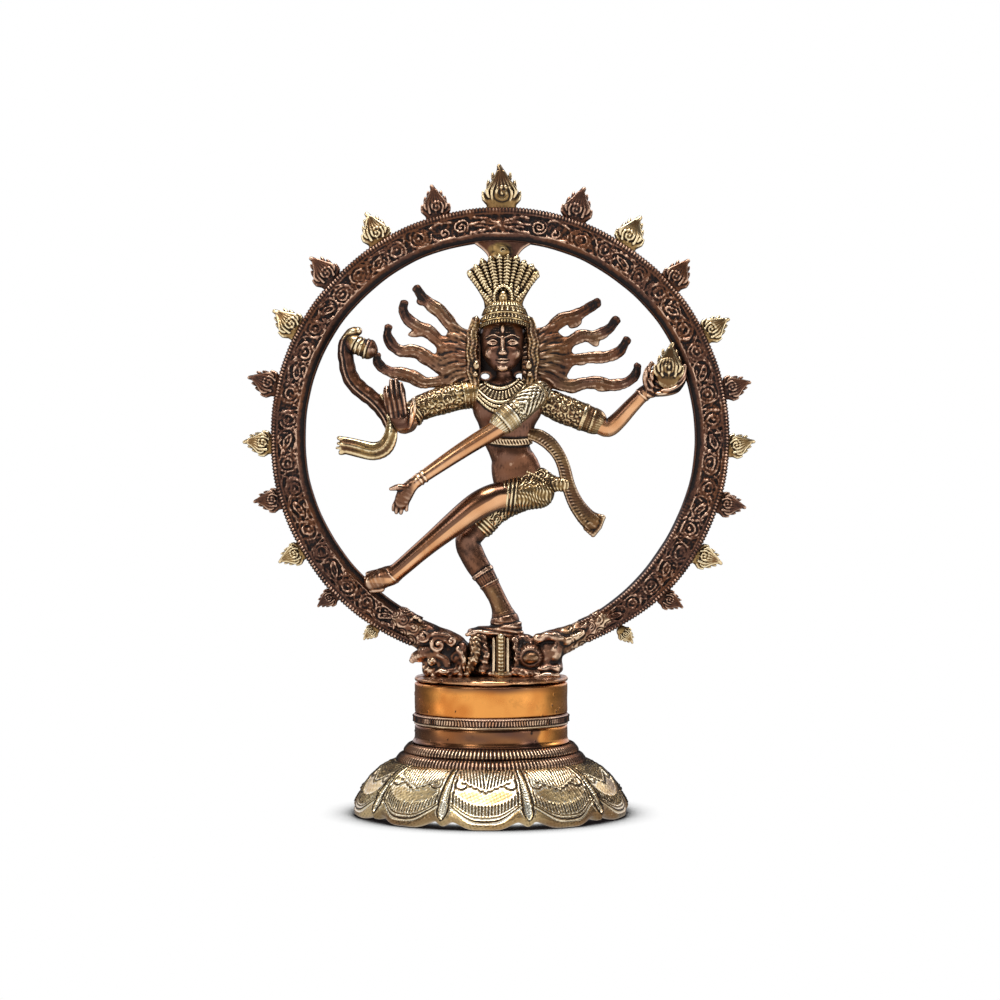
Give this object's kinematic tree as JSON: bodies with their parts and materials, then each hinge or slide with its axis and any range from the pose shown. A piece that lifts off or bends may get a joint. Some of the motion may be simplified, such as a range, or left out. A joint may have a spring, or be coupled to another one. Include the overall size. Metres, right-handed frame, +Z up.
{
  "type": "dancing figure statue",
  "caption": "Brass dancing four-armed figure inside a ring of flames, standing on a squat drum and a petalled lotus foot.",
  "frame": {"origin": "on the ground, under the centre of the ring, 3.8 mm to the right of the foot's axis", "axes": "+Z up; the figure faces -Y; +X is to the viewer's right when looking along +Y"},
  "size_m": [0.2166, 0.1144, 0.2725],
  "materials": {
    "antique_gold": "antique gold brass with dark recesses",
    "polished_copper": "polished copper-red brass",
    "dark_copper": "dark brown patina rubbed to copper on the edges",
    "steel": "zinc-plated fixing"
  },
  "bodies": {
    "root": {"belt_ring": "dark_copper", "blessing_hand": "polished_copper", "blessing_upper_arm": "antique_gold", "cobra": "dark_copper", "collar_lower": "dark_copper", "collar_upper": "dark_copper", "crossing_forearm": "polished_copper", "crossing_upper_arm": "antique_gold", "crown_band": "antique_gold", "crown_bridge": "dark_copper", "crown_fan": "antique_gold", "demon": "dark_copper", "drum": "polished_copper", "fire_forearm": "polished_copper", "fire_upper_arm": "antique_gold", "fixing_nut": "steel", "fixing_stud": "steel", "fixing_washer": "steel", "flame_left_01": "dark_copper", "flame_left_02": "antique_gold", "flame_left_03": "dark_copper", "flame_left_04": "antique_gold", "flame_left_05": "dark_copper", "flame_left_06": "antique_gold", "flame_left_07": "dark_copper", "flame_left_08": "antique_gold", "flame_left_09": "dark_copper", "flame_left_10": "antique_gold", "flame_right_01": "dark_copper", "flame_right_02": "antique_gold", "flame_right_03": "dark_copper", "flame_right_04": "antique_gold", "flame_right_05": "dark_copper", "flame_right_06": "antique_gold", "flame_right_07": "dark_copper", "flame_right_08": "antique_gold", "flame_right_09": "dark_copper", "flame_right_10": "antique_gold", "flame_ring": "dark_copper", "flame_top": "antique_gold", "hair_left": "dark_copper", "hair_right": "dark_copper", "head": "dark_copper", "hips": "antique_gold", "lotus_foot": "antique_gold", "makara_left": "dark_copper", "makara_right": "dark_copper", "palm_flame": "antique_gold", "raised_leg": "polished_copper", "sash_tail": "antique_gold", "shawl_end": "antique_gold", "standing_leg": "dark_copper", "top_plate": "dark_copper", "torso": "dark_copper"}
  },
  "joints": []
}
